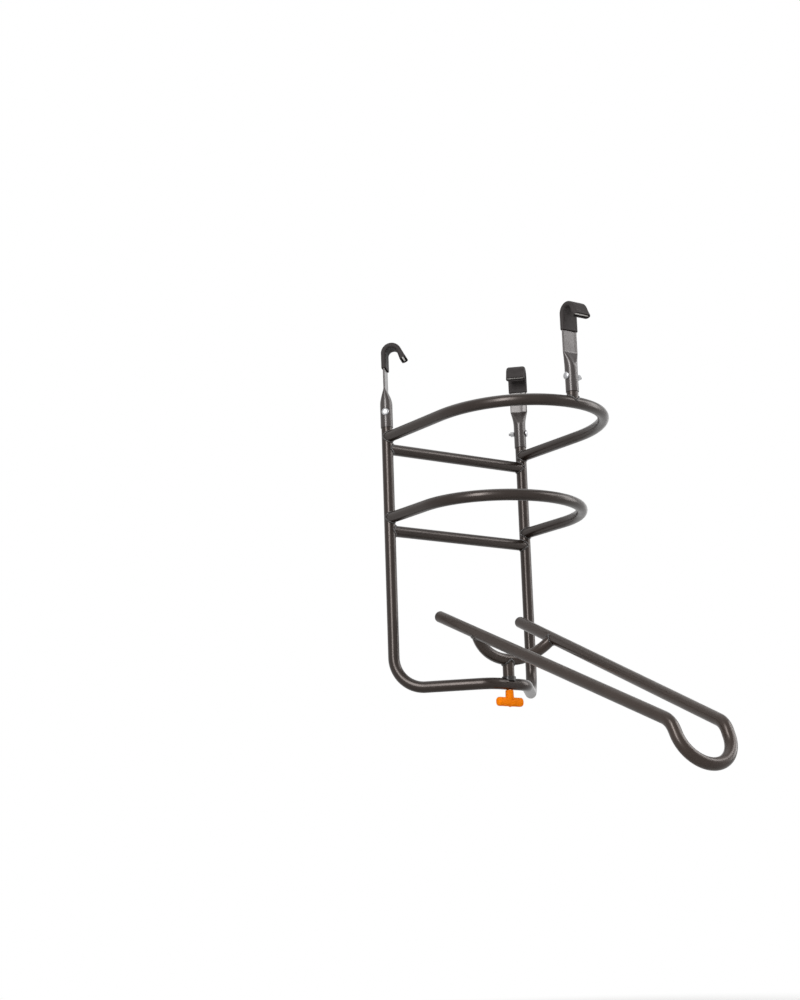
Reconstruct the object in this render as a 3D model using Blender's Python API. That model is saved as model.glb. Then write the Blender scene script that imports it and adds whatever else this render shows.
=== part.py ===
# Ball return: a bent tube frame hangs from three hooks, and a two rail chute swivels on its
# bottom bar and is locked by a T knob from below.
# Metres and degrees. The origin is the middle of the circle that the hooks hang on, +Y points
# to the back and +Z is up.
import math

import bmesh
import bpy
import numpy as np

# The circle of round bar that the hooks are made to hang on
hung_circle_inner_radius = 0.2286
hung_bar_radius = 0.009
rear_hook_azimuth = 45.0

# Tube stock and clearances
tube_radius = 0.0119
tube_wall = 0.0015
touch_gap = 0.0003
weld_gap = 0.00045

# Heights: three below the middle of that bar, and drops from the post tops and from each hoop
post_top_depth = 0.116
lower_hoop_depth = 0.361
bottom_bar_depth = 0.7215
upper_hoop_drop = 0.069
upper_crossbar_drop = 0.0255
lower_crossbar_drop = 0.027

# U frame
corner_bend_radius = 0.065
bar_bend_radius = 0.05
bar_flat_half_length = 0.045
swivel_setback = 0.0285

# Hoops: half ovals whose straight ends run back to the posts
upper_hoop_shoulder_setback = -0.014
upper_hoop_fullness_share = 2.08
lower_hoop_reach = 0.131
lower_hoop_shoulder_setback = 0.045
lower_hoop_fullness_share = 2.0

# Hooks: a tube that is pressed flat above the bolt and bent over
arm_wall = 0.001
arm_overlap = 0.0482
arm_bore_headroom = 0.0015
taper_rise = 0.0015
taper_length = 0.033
strip_half_width = 0.0188
strip_half_thickness = 0.002
hook_bend_radius = 0.0172
hook_bend_angle = 156.0
hook_tip_length = 0.019
hook_bolt_drop = 0.0155

# Soft sleeves that grip the hooks' edges and open into a thicker mouth past the bend
sleeve_wall = 0.0018
sleeve_half_thickness = 0.0053
sleeve_mouth_half_thickness = 0.0072
sleeve_bottom_depth = 0.0355
sleeve_lip_length = 0.0025

# Hook bolts and nuts
bolt_radius = 0.003
bolt_head_radius = 0.0078
bolt_head_height = 0.0042
bolt_head_rim_height = 0.0008
bolt_tail_length = 0.004
bolt_tail_chamfer = 0.0006
nut_half_width = 0.005
nut_height = 0.0075
nut_chamfer = 0.0007

# Chute: two rails that close up towards the end loop
chute_azimuth = -93.0
chute_slope = 23.1
rail_rise_at_swivel = 0.108
rail_back_length = 0.0935
rail_front_length = 0.5761
rail_back_half_spacing = 0.1013
rail_front_half_spacing = 0.062
loop_half_width = 0.0605
loop_length = 0.0848
loop_dip = 66.2
loop_bend_radius = 0.045

# Round ended plugs in the open ends of the rails
plug_dome_height = 0.0095
plug_rim_height = 0.0012
plug_spigot_length = 0.014

# Cradle under the rails, stem, and what they turn on
cradle_sag = 0.0575
cradle_lean = 32.0
insert_height = 0.012
saddle_radius = 0.0145
saddle_rise = 0.003
saddle_skirt_depth = 0.006
saddle_edge_chamfer = 0.0008

# T knob and its stud
stud_radius = 0.004
stud_top_margin = 0.003
stud_chamfer = 0.0008
stud_buried_length = 0.016
knob_shank_length = 0.015
knob_shank_top_radius = 0.0082
knob_shank_foot_radius = 0.0088
knob_shank_edge = 0.0008
knob_bar_half_length = 0.0326
knob_bar_half_height = 0.0093
knob_bar_half_depth = 0.0078
knob_corner_radius = 0.0062
knob_socket_headroom = 0.001

# Fineness and shape of the round work
tube_sides = 16
round_sides = 16
drill_sides = 12
hex_points = 12
arc_step = 14.0
oval_steps = 17
taper_steps = 6
hook_bend_steps = 8
cradle_steps = 9
loop_steps = 11
dome_steps = 4
knob_corner_steps = 4
knob_corner_fit_share = 0.85
knob_union_share = 0.5
bend_fit_share = 0.96
sharp_angle = 35.0
cutter_reach_shares = 1.6

# Colours and finishes: name, red, green, blue, metallic, roughness
finish_shares = {
    "powder_coat": (0.026, 0.024, 0.023, 0.0, 0.42),
    "arm_coat": (0.045, 0.042, 0.043, 0.35, 0.38),
    "sleeve_vinyl": (0.018, 0.018, 0.019, 0.0, 0.6),
    "zinc": (0.62, 0.63, 0.65, 1.0, 0.3),
    "plug_plastic": (0.02, 0.02, 0.02, 0.0, 0.5),
    "insert_steel": (0.5, 0.5, 0.5, 1.0, 0.4),
    "knob_plastic": (0.88, 0.22, 0.0, 0.0, 0.4),
}

# Values that follow from the ones above
hung_circle_radius = hung_circle_inner_radius + hung_bar_radius
upper_hoop_depth = post_top_depth + upper_hoop_drop
upper_crossbar_depth = upper_hoop_depth + upper_crossbar_drop
lower_crossbar_depth = lower_hoop_depth + lower_crossbar_drop
arm_bottom_depth = post_top_depth + arm_overlap
hook_bolt_depth = post_top_depth + hook_bolt_drop
taper_bottom_depth = post_top_depth - taper_rise
taper_top_depth = taper_bottom_depth - taper_length
rail_depth_at_swivel = bottom_bar_depth - rail_rise_at_swivel
tube_bore = tube_radius - tube_wall
meeting_radius = tube_radius + weld_gap
arm_bore = tube_radius + touch_gap
arm_radius = arm_bore + arm_wall
strip_flat_half_width = strip_half_width - strip_half_thickness
sleeve_hole_half_width = strip_half_width + touch_gap
hook_bend_height = hung_bar_radius + touch_gap - (hook_bend_radius - sleeve_half_thickness)
post_ring_radius = hung_circle_radius + hook_bend_radius
post_half_span = post_ring_radius * math.cos(math.radians(rear_hook_azimuth))
post_setback = post_ring_radius * math.sin(math.radians(rear_hook_azimuth))
front_leg_reach = hung_circle_radius - hook_bend_radius
bolt_hole_radius = bolt_radius + touch_gap
stud_hole_radius = stud_radius + touch_gap
up = np.array([0.0, 0.0, 1.0])
right = np.array([1.0, 0.0, 0.0])
back = np.array([0.0, 1.0, 0.0])


def clear_scene():
    for obj in list(bpy.data.objects):
        bpy.data.objects.remove(obj, do_unlink=True)


def unit(vector):
    return vector / np.linalg.norm(vector)


def flat_direction(azimuth):
    angle = math.radians(azimuth)
    return np.array([math.cos(angle), math.sin(angle), 0.0])


def finish(name):
    red, green, blue, metallic, roughness = finish_shares[name]
    material = bpy.data.materials.new(name)
    material.use_nodes = True
    shader = material.node_tree.nodes["Principled BSDF"]
    shader.inputs["Base Color"].default_value = (red, green, blue, 1.0)
    shader.inputs["Metallic"].default_value = metallic
    shader.inputs["Roughness"].default_value = roughness
    material.diffuse_color = (red, green, blue, 1.0)
    return material


def add_object(name, verts, faces, finish_name):
    mesh = bpy.data.meshes.new(name)
    mesh.from_pydata([tuple(v) for v in verts], [], faces)
    work = bmesh.new()
    work.from_mesh(mesh)
    bmesh.ops.recalc_face_normals(work, faces=work.faces)
    work.to_mesh(mesh)
    work.free()
    if finish_name:
        material = finish(finish_name)
        material.name = name
        mesh.materials.append(material)
    mesh.shade_smooth()
    mesh.set_sharp_from_angle(angle=math.radians(sharp_angle))
    obj = bpy.data.objects.new(name, mesh)
    bpy.context.scene.collection.objects.link(obj)
    return obj


def wall_faces(first_start, second_start, count):
    # quads between two rings of the same number of points
    faces = []
    for k in range(count):
        m = (k + 1) % count
        faces.append((first_start + k, first_start + m, second_start + m, second_start + k))
    return faces


def ring_solid(name, rings, finish_name, closed=False):
    # one skin through all the rings: closed on itself, or capped at both ends
    count = len(rings[0])
    verts = np.vstack(rings)
    faces = []
    for i in range(len(rings) - 1):
        faces += wall_faces(i * count, (i + 1) * count, count)
    last = (len(rings) - 1) * count
    if closed:
        faces += wall_faces(last, 0, count)
    else:
        faces.append(tuple(range(count)))
        faces.append(tuple(range(last, last + count)))
    return add_object(name, verts, faces, finish_name)


def hollow_solid(name, outer_rings, inner_rings, finish_name):
    # a pipe with open ends: out along the outside and back along the bore
    return ring_solid(name, list(outer_rings) + list(inner_rings)[::-1], finish_name, closed=True)


def filleted_path(points, radii):
    # corner points with an arc of the given radius put in at each inner corner
    points = [np.array(p, float) for p in points]
    path = [points[0]]
    for i in range(1, len(points) - 1):
        if not radii[i - 1]:
            path.append(points[i])
            continue
        arrive = unit(points[i] - points[i - 1])
        leave = unit(points[i + 1] - points[i])
        turn = math.acos(float(np.clip(arrive @ leave, -1, 1)))
        # two bends share the straight between them
        before = np.linalg.norm(points[i] - points[i - 1])
        if i > 1 and radii[i - 2]:
            before = before / 2
        after = np.linalg.norm(points[i + 1] - points[i])
        if i < len(radii) and radii[i]:
            after = after / 2
        radius = min(radii[i - 1], bend_fit_share * min(before, after) / math.tan(turn / 2))
        inward = unit(leave - arrive)
        centre = points[i] + inward * radius / math.cos(turn / 2)
        normal = unit(np.cross(arrive, leave))
        start = points[i] - arrive * radius * math.tan(turn / 2) - centre
        side = np.cross(normal, start)
        steps = max(2, math.ceil(math.degrees(turn) / arc_step))
        for k in range(steps + 1):
            angle = turn * k / steps
            path.append(centre + start * math.cos(angle) + side * math.sin(angle))
    path.append(points[-1])
    return np.array(path)


def path_tangents(path):
    steps = np.diff(path, axis=0)
    steps = steps / np.linalg.norm(steps, axis=1)[:, None]
    tangents = np.vstack([steps[:1], steps[:-1] + steps[1:], steps[-1:]])
    return tangents / np.linalg.norm(tangents, axis=1)[:, None]


def sweep_rings(path, tangents, radius, sides, first_normal):
    # circles square to the path, carried along it without twist
    rings = []
    normal = np.array(first_normal, float)
    angles = (np.arange(sides) + 0.5) * 2 * math.pi / sides
    for centre, tangent in zip(path, tangents):
        normal = unit(normal - tangent * (normal @ tangent))
        across = np.cross(tangent, normal)
        rings.append(centre + radius * (np.cos(angles)[:, None] * normal + np.sin(angles)[:, None] * across))
    return rings


def meet_tube(ring, direction, axis_point, axis_direction, radius):
    # slide each point of a ring along the direction until it is that far from the other tube's axis
    away = ring - axis_point
    away = away - np.outer(away @ axis_direction, axis_direction)
    slide = direction - axis_direction * (direction @ axis_direction)
    a = slide @ slide
    b = away @ slide
    c = np.einsum("ij,ij->i", away, away) - radius * radius
    distance = (-b - np.sqrt(np.maximum(b * b - a * c, 0.0))) / a
    return ring + distance[:, None] * direction


def pipe(name, path, first_normal, finish_name, start_cut=None, end_cut=None, tangents=None):
    # a hollow tube on a path; a cut is the axis point and direction of the tube that the end meets
    if tangents is None:
        tangents = path_tangents(path)
    skins = []
    for radius in (tube_radius, tube_bore):
        rings = sweep_rings(path, tangents, radius, tube_sides, first_normal)
        if start_cut:
            rings[0] = meet_tube(rings[0], -tangents[0], start_cut[0], start_cut[1], meeting_radius)
        if end_cut:
            rings[-1] = meet_tube(rings[-1], tangents[-1], end_cut[0], end_cut[1], meeting_radius)
        skins.append(rings)
    return hollow_solid(name, skins[0], skins[1], finish_name)


def lathe(name, profile, base, axis, side, sides, finish_name, closed=False):
    # profile of (radius, height) pairs turned about an axis; a radius of nothing becomes a flat cap
    across = np.cross(axis, side)
    angles = (np.arange(sides) + 0.5) * 2 * math.pi / sides
    rings = []
    for radius, height in profile:
        turn = np.cos(angles)[:, None] * side + np.sin(angles)[:, None] * across
        rings.append(base + axis * height + radius * turn)
    return ring_solid(name, rings, finish_name, closed)


def dome(radius, height, top, share_steps):
    # rings of a dome from its edge up to a small flat crown
    rings = []
    for k in range(share_steps):
        angle = math.pi / 2 * k / share_steps
        rings.append((radius * math.cos(angle), top - height * (1 - math.sin(angle))))
    return rings


def cutter(name, start, end, radius, side, sides=drill_sides):
    axis = unit(end - start)
    obj = lathe(name, [(radius, 0.0), (radius, float(np.linalg.norm(end - start)))], start, axis, side,
                sides, None)
    obj.hide_render = True
    obj.display_type = "WIRE"
    obj.hide_set(True)
    return obj


def boolean(target, other, operation):
    modifier = target.modifiers.new(operation.lower(), "BOOLEAN")
    modifier.operation = operation
    modifier.solver = "EXACT"
    modifier.object = other


def hoop_path(depth, reach, shoulder, fullness):
    # straight from the left post to the shoulder, round a full half oval, and back to the right post;
    # the odd number of steps leaves a short straight side at the front, and that side is at the reach
    points = [np.array([-post_half_span, post_setback, -depth])]
    front_sine = math.cos(math.pi / 2 / oval_steps)
    for k in range(oval_steps + 1):
        angle = math.pi * (1 + k / oval_steps)
        across = math.cos(angle)
        ahead = abs(math.sin(angle))
        size = (abs(across) ** fullness + ahead ** fullness) ** (-1 / fullness)
        if k == oval_steps // 2 or k == oval_steps // 2 + 1:
            size = 1 / front_sine
        points.append(np.array([post_half_span * across * size,
                                shoulder - (reach + shoulder) * ahead * size, -depth]))
    points.append(np.array([post_half_span, post_setback, -depth]))
    return np.array(points)


def make_frame():
    left_post = np.array([-post_half_span, post_setback, 0.0])
    right_post = np.array([post_half_span, post_setback, 0.0])
    bar_level = -bottom_bar_depth * up
    corners = [left_post - post_top_depth * up,
               left_post + bar_level,
               -bar_flat_half_length * right + swivel_setback * back + bar_level,
               bar_flat_half_length * right + swivel_setback * back + bar_level,
               right_post + bar_level,
               right_post - post_top_depth * up]
    path = filleted_path(corners, [corner_bend_radius, bar_bend_radius, bar_bend_radius, corner_bend_radius])
    frame = pipe("u_frame", path, right, "powder_coat")
    hoops = {"upper_hoop": (upper_hoop_depth, front_leg_reach, upper_hoop_shoulder_setback,
                            upper_hoop_fullness_share),
             "lower_hoop": (lower_hoop_depth, lower_hoop_reach, lower_hoop_shoulder_setback,
                            lower_hoop_fullness_share)}
    for name, measures in hoops.items():
        pipe(name, hoop_path(*measures), up, "powder_coat", start_cut=(left_post, up),
             end_cut=(right_post, up))
    for name, depth in (("upper_crossbar", upper_crossbar_depth), ("lower_crossbar", lower_crossbar_depth)):
        pipe(name, np.array([left_post - depth * up, right_post - depth * up]), up, "powder_coat",
             start_cut=(left_post, up), end_cut=(right_post, up))
    return frame


def hook_sections(front):
    # stations up the leg, over the bend and down to the tip: place in the hook's plane and heading
    stations = []
    for k in range(front["taper"] + 1):
        share = k / max(front["taper"], 1)
        stations.append((0.0, -front["start"] + (front["start"] - front["straight"]) * share, math.pi / 2))
    for k in range(hook_bend_steps + 1):
        turned = math.radians(hook_bend_angle) * k / hook_bend_steps
        stations.append((hook_bend_radius * (1 - math.cos(turned)),
                         hook_bend_height + hook_bend_radius * math.sin(turned), math.pi / 2 - turned))
    across, height, heading = stations[-1]
    stations.append((across + front["tip"] * math.cos(heading), height + front["tip"] * math.sin(heading),
                     heading))
    return stations


def place_section(foot, toward, station, half_thickness, flat_half_width, sides):
    # a flattened tube: two half circles with a flat of the given half width between them
    across, height, heading = station
    side = np.cross(up, toward)
    outward = toward * math.sin(heading) - up * math.cos(heading)
    centre = foot + toward * across + up * height
    angles = (np.arange(sides) + 0.5) * 2 * math.pi / sides
    u = half_thickness * np.cos(angles)
    v = half_thickness * np.sin(angles) + flat_half_width * np.sign(np.sin(angles))
    return centre + u[:, None] * outward + v[:, None] * side


def make_hook(label, foot, toward, head_side):
    # foot is the leg's axis at the origin's height, toward points from the leg to the hook's tip
    plain = {"taper": taper_steps, "start": taper_bottom_depth, "straight": taper_top_depth,
             "tip": hook_tip_length}
    side = np.cross(up, toward)
    bore_top = -post_top_depth + arm_bore_headroom
    upright = math.pi / 2
    angles = (np.arange(tube_sides) + 0.5) * 2 * math.pi / tube_sides
    bore = arm_bore * (np.cos(angles)[:, None] * toward + np.sin(angles)[:, None] * side)
    rings = [foot + up * bore_top + bore, foot - up * arm_bottom_depth + bore]
    rings.append(place_section(foot, toward, (0.0, -arm_bottom_depth, upright), arm_radius, 0.0, tube_sides))
    for k, station in enumerate(hook_sections(plain)):
        # round at the taper's foot, then pressed in faster and faster up to the strip
        pressed = 1 - math.cos(math.pi / 2 * min(1.0, k / taper_steps))
        half_thickness = arm_radius + (strip_half_thickness - arm_radius) * pressed
        rings.append(place_section(foot, toward, station, half_thickness, strip_flat_half_width * pressed,
                                   tube_sides))
    hook = ring_solid("hook_" + label, rings, "arm_coat")
    covered = {"taper": 1, "start": sleeve_bottom_depth, "straight": sleeve_bottom_depth,
               "tip": hook_tip_length + sleeve_lip_length}
    stations = hook_sections(covered)[1:]
    # the hole is as wide as the strip all the way, so its flats get shorter where it is thicker
    outer = []
    inner = []
    for station in stations:
        half_thickness = sleeve_mouth_half_thickness if station is stations[-1] else sleeve_half_thickness
        hole_half_thickness = half_thickness - sleeve_wall
        flat = sleeve_hole_half_width - hole_half_thickness
        outer.append(place_section(foot, toward, station, half_thickness, flat, tube_sides))
        inner.append(place_section(foot, toward, station, hole_half_thickness, flat, tube_sides))
    hollow_solid("sleeve_" + label, outer, inner, "sleeve_vinyl")
    make_bolt(label, foot - up * hook_bolt_depth, head_side)
    return hook


def make_bolt(label, middle, head_side):
    seat = arm_radius + touch_gap
    base = middle + head_side * seat
    profile = [(radius, height) for radius, height in
               dome(bolt_head_radius, bolt_head_height - bolt_head_rim_height, bolt_head_height, dome_steps)][::-1]
    profile.append((bolt_head_radius, 0.0))
    profile.append((bolt_radius, 0.0))
    tail = 2 * seat + nut_height + bolt_tail_length
    profile.append((bolt_radius, bolt_tail_chamfer - tail))
    profile.append((bolt_radius - bolt_tail_chamfer, -tail))
    lathe("bolt_" + label, profile, base, head_side, up, round_sides, "zinc")
    angles = (np.arange(hex_points) + 0.5) * 2 * math.pi / hex_points
    sector = math.pi / 3
    hexagon = nut_half_width / np.cos((angles % sector) - sector / 2)
    corner = nut_half_width / math.cos(sector / 2) - nut_chamfer
    side = np.cross(head_side, up)
    turn = np.cos(angles)[:, None] * up + np.sin(angles)[:, None] * side
    near = middle - head_side * seat
    far = near - head_side * nut_height
    trimmed = np.minimum(hexagon, corner)[:, None]
    rings = [near + trimmed * turn,
             near - head_side * nut_chamfer + hexagon[:, None] * turn,
             far + head_side * nut_chamfer + hexagon[:, None] * turn,
             far + trimmed * turn,
             far + bolt_hole_radius * turn,
             near + bolt_hole_radius * turn]
    ring_solid("nut_" + label, rings, "zinc", closed=True)


def bolt_cutter(label, middle, head_side):
    reach = head_side * arm_radius * cutter_reach_shares
    return cutter("bolt_hole_" + label, middle - reach, middle + reach, bolt_hole_radius, up)


def make_hooks(frame):
    rear_left = np.array([-post_half_span, post_setback, 0.0])
    rear_right = np.array([post_half_span, post_setback, 0.0])
    front = -front_leg_reach * back
    # the front leg stands on a stub on top of the upper hoop
    hoop_front = front - up * upper_hoop_depth
    stub = pipe("front_stub", np.array([hoop_front, front - up * post_top_depth]), right, "powder_coat",
                start_cut=(hoop_front, right))
    for label, foot, toward, carrier in (("left", rear_left, -unit(rear_left), frame),
                                         ("right", rear_right, -unit(rear_right), frame),
                                         ("front", front, unit(front), stub)):
        head_side = np.cross(up, toward)
        if head_side @ back > 0 or (abs(head_side @ back) < touch_gap and head_side @ right > 0):
            head_side = -head_side
        hook = make_hook(label, foot, toward, head_side)
        hole = bolt_cutter(label, foot - up * hook_bolt_depth, head_side)
        boolean(hook, hole, "DIFFERENCE")
        boolean(carrier, hole, "DIFFERENCE")


def rail_point(ahead, half_spacing, side):
    # a point of the rails' middle line, ahead of the swivel along the chute
    forward = flat_direction(chute_azimuth)
    sideways = np.cross(up, forward)
    drop = rail_depth_at_swivel + ahead * math.tan(math.radians(chute_slope))
    return swivel_setback * back + forward * ahead + sideways * side * half_spacing - up * drop


def make_chute():
    forward = flat_direction(chute_azimuth)
    sideways = np.cross(up, forward)
    dip = math.radians(loop_dip)
    lip = forward * math.cos(dip) - up * math.sin(dip)
    tops = {side: rail_point(-rail_back_length, rail_back_half_spacing, side) for side in (1, -1)}
    bends = {side: rail_point(rail_front_length, rail_front_half_spacing, side) for side in (1, -1)}
    # the loop ends in a half circle as wide as the loop
    middle = rail_point(rail_front_length, 0.0, 0) + lip * (loop_length - loop_half_width)
    round_end = []
    for k in range(loop_steps + 1):
        angle = math.pi * k / loop_steps
        round_end.append(middle + loop_half_width * (sideways * math.cos(angle) + lip * math.sin(angle)))
    corners = [tops[1], bends[1]] + round_end + [bends[-1], tops[-1]]
    radii = [loop_bend_radius] + [0.0] * len(round_end) + [loop_bend_radius]
    pipe("chute_tube", filleted_path(corners, radii), up, "powder_coat")
    for label, side in (("left", -1), ("right", 1)):
        outward = unit(tops[side] - bends[side])
        profile = dome(tube_radius, plug_dome_height - plug_rim_height, touch_gap + plug_dome_height, dome_steps)
        profile = profile[::-1]
        profile.append((tube_radius, touch_gap))
        profile.append((tube_bore - touch_gap, touch_gap))
        profile.append((tube_bore - touch_gap, touch_gap - plug_spigot_length))
        lathe("end_plug_" + label, profile, tops[side], outward, unit(np.cross(outward, right)), tube_sides,
              "plug_plastic")
    make_cradle(forward, sideways, tops, bends)


def make_cradle(forward, sideways, tops, bends):
    # an arc that leans forward: its low point is on the swivel's axis and it meets both rails' middles
    slope = math.radians(chute_slope)
    tilt = math.radians(cradle_lean)
    lean = forward * math.sin(tilt) + up * math.cos(tilt)
    rise = cradle_sag / (math.cos(tilt) + math.sin(tilt) * math.tan(slope))
    share = (rail_back_length + rise * math.sin(tilt)) / (rail_back_length + rail_front_length)
    half_chord = rail_back_half_spacing + (rail_front_half_spacing - rail_back_half_spacing) * share
    low_point = rail_point(0.0, 0.0, 0) - up * cradle_sag
    radius = (half_chord ** 2 + rise ** 2) / (2 * rise)
    swing = math.asin(half_chord / radius)
    if rise > radius:
        swing = math.pi - swing
    centre = low_point + lean * radius
    path = []
    tangents = []
    for k in range(cradle_steps + 1):
        angle = swing * (2 * k / cradle_steps - 1)
        path.append(centre + radius * (sideways * math.sin(angle) - lean * math.cos(angle)))
        tangents.append(sideways * math.cos(angle) + lean * math.sin(angle))
    rails = {side: (tops[side], unit(bends[side] - tops[side])) for side in (1, -1)}
    pipe("cradle", np.array(path), lean, "powder_coat", start_cut=rails[-1], end_cut=rails[1],
         tangents=np.array(tangents))
    stem_foot = -bottom_bar_depth + tube_radius + touch_gap + saddle_rise + touch_gap
    foot = swivel_setback * back + up * stem_foot
    pipe("stem", np.array([foot, low_point]), sideways, "powder_coat", end_cut=(low_point, sideways))
    insert_radius = tube_bore - touch_gap
    profile = [(insert_radius, 0.0), (insert_radius, insert_height),
               (stud_hole_radius, insert_height), (stud_hole_radius, 0.0)]
    lathe("stem_insert", profile, foot, up, right, tube_sides, "insert_steel", closed=True)


def make_swivel(frame):
    axis_foot = swivel_setback * back - up * bottom_bar_depth
    top = tube_radius + touch_gap + saddle_rise
    bottom = tube_radius - saddle_skirt_depth
    profile = [(saddle_radius, bottom), (saddle_radius, top - saddle_edge_chamfer),
               (saddle_radius - saddle_edge_chamfer, top), (stud_hole_radius, top), (stud_hole_radius, bottom)]
    saddle = lathe("swivel_saddle", profile, axis_foot, up, right, round_sides, "insert_steel", closed=True)
    reach = right * saddle_radius * cutter_reach_shares
    seat = cutter("saddle_seat", axis_foot - reach, axis_foot + reach, meeting_radius, up, sides=tube_sides)
    boolean(saddle, seat, "DIFFERENCE")
    drill = up * tube_radius * cutter_reach_shares
    boolean(frame, cutter("stud_hole", axis_foot - drill, axis_foot + drill, stud_hole_radius, right),
            "DIFFERENCE")
    make_knob(axis_foot)


def make_knob(axis_foot):
    knob_top = -tube_radius - touch_gap
    shank_foot = knob_top - knob_shank_length
    bar_middle = shank_foot - knob_bar_half_height
    stud_base = knob_top - stud_buried_length
    stud_top = tube_radius + 3 * touch_gap + saddle_rise + insert_height + stud_top_margin
    profile = [(stud_radius - stud_chamfer, stud_base), (stud_radius, stud_base + stud_chamfer),
               (stud_radius, stud_top - stud_chamfer), (stud_radius - stud_chamfer, stud_top)]
    lathe("clamp_stud", profile, axis_foot, up, right, tube_sides, "zinc")
    # the handle's skin is drawn in round both ends by quarter circles
    corner = min(knob_corner_radius, knob_corner_fit_share * min(knob_bar_half_depth, knob_bar_half_height))
    ends = []
    for k in range(knob_corner_steps + 1):
        turned = math.pi / 2 * k / knob_corner_steps
        ends.append((knob_bar_half_length - corner * (1 - math.cos(turned)), corner * (1 - math.sin(turned))))
    angles = (np.arange(round_sides) + 0.5) * 2 * math.pi / round_sides
    rings = []
    for along, inset in [(-along, inset) for along, inset in ends] + ends[::-1]:
        ring = (np.cos(angles)[:, None] * up * (knob_bar_half_height - inset)
                + np.sin(angles)[:, None] * back * (knob_bar_half_depth - inset))
        rings.append(axis_foot + up * bar_middle + right * along + ring)
    knob = ring_solid("t_knob", rings, "knob_plastic")
    sink = shank_foot - knob_bar_half_height * knob_union_share
    profile = [(knob_shank_foot_radius * knob_union_share, sink),
               (knob_shank_foot_radius, shank_foot),
               (knob_shank_top_radius, knob_top - knob_shank_edge),
               (knob_shank_top_radius - knob_shank_edge, knob_top)]
    shank = lathe("knob_shank", profile, axis_foot, up, right, round_sides, None)
    shank.hide_render = True
    shank.display_type = "WIRE"
    shank.hide_set(True)
    boolean(knob, shank, "UNION")
    socket_floor = stud_base - knob_socket_headroom
    drill = cutter("stud_socket", axis_foot + up * socket_floor, axis_foot + up * tube_radius,
                   stud_hole_radius, right)
    boolean(knob, drill, "DIFFERENCE")


clear_scene()
u_frame = make_frame()
make_hooks(u_frame)
make_chute()
make_swivel(u_frame)
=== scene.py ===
# Ball return: finishes, fine shapes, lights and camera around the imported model.
# Metres; the origin is the middle of the circle that the hooks hang on, +Y is the back and +Z is up.
import math

import bpy
import numpy as np
from mathutils import Matrix


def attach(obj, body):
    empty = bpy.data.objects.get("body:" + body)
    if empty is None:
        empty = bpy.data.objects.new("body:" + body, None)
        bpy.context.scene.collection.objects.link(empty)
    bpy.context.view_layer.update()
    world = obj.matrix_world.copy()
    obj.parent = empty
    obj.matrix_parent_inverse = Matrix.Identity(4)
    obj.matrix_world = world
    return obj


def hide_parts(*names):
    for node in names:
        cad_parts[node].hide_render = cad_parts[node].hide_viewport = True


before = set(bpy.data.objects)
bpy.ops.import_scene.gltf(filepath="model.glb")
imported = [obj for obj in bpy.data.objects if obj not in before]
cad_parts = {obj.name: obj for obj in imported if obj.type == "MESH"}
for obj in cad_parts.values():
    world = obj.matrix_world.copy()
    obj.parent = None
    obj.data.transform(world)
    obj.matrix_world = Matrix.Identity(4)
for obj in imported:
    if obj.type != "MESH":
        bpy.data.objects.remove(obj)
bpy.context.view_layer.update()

scene = bpy.context.scene
up = np.array([0.0, 0.0, 1.0])
right = np.array([1.0, 0.0, 0.0])
back = np.array([0.0, 1.0, 0.0])
fullTurn = 2 * math.pi


# Camera
print("camera")
cameraValues = {
    "place": (-2.2554, -2.8724, -1.1783),
    "turn": 34.565,  # degrees from +Y towards +X
    "rise": 13.058,
    "tilt": -1.816,
    "lens": 64.626,
    "sensor": 36.0,
    "nearest": 0.05,
    "farthest": 100.0,
}


def placeObject(name, data, x, y, z, place):
    # an object with its own axes along x, y and z
    matrix = np.eye(4)
    matrix[:3] = np.column_stack([x, y, z, place])
    placed = bpy.data.objects.new(name, data)
    placed.matrix_world = Matrix(matrix.tolist())
    scene.collection.objects.link(placed)
    return placed


def placeCamera(values):
    # level heading from the turn, then lifted by the rise, then rolled by the tilt about the line of sight
    turn, rise, tilt = (math.radians(values[key]) for key in ("turn", "rise", "tilt"))
    level = right * math.cos(turn) - back * math.sin(turn)
    ahead = right * math.sin(turn) + back * math.cos(turn)
    look = ahead * math.cos(rise) + up * math.sin(rise)
    top = up * math.cos(rise) - ahead * math.sin(rise)
    side = level * math.cos(tilt) + top * math.sin(tilt)
    top = top * math.cos(tilt) - level * math.sin(tilt)
    data = bpy.data.cameras.new("photoCamera")
    data.sensor_fit = "AUTO"
    data.sensor_width = values["sensor"]
    data.lens = values["lens"]
    data.clip_start = values["nearest"]
    data.clip_end = values["farthest"]
    scene.camera = placeObject("photoCamera", data, side, top, -look, values["place"])


placeCamera(cameraValues)


# Mesh tools
def unit(vectors):
    # each vector over its own length
    return vectors / np.linalg.norm(vectors, axis=-1, keepdims=True)


def turned(angles, first, second):
    # cos a · first + sin a · second, for an array of angles
    return np.cos(angles)[..., None] * first + np.sin(angles)[..., None] * second


def columnAngles(columns):
    # equal shares of a full turn
    return np.arange(columns) * fullTurn / columns


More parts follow.
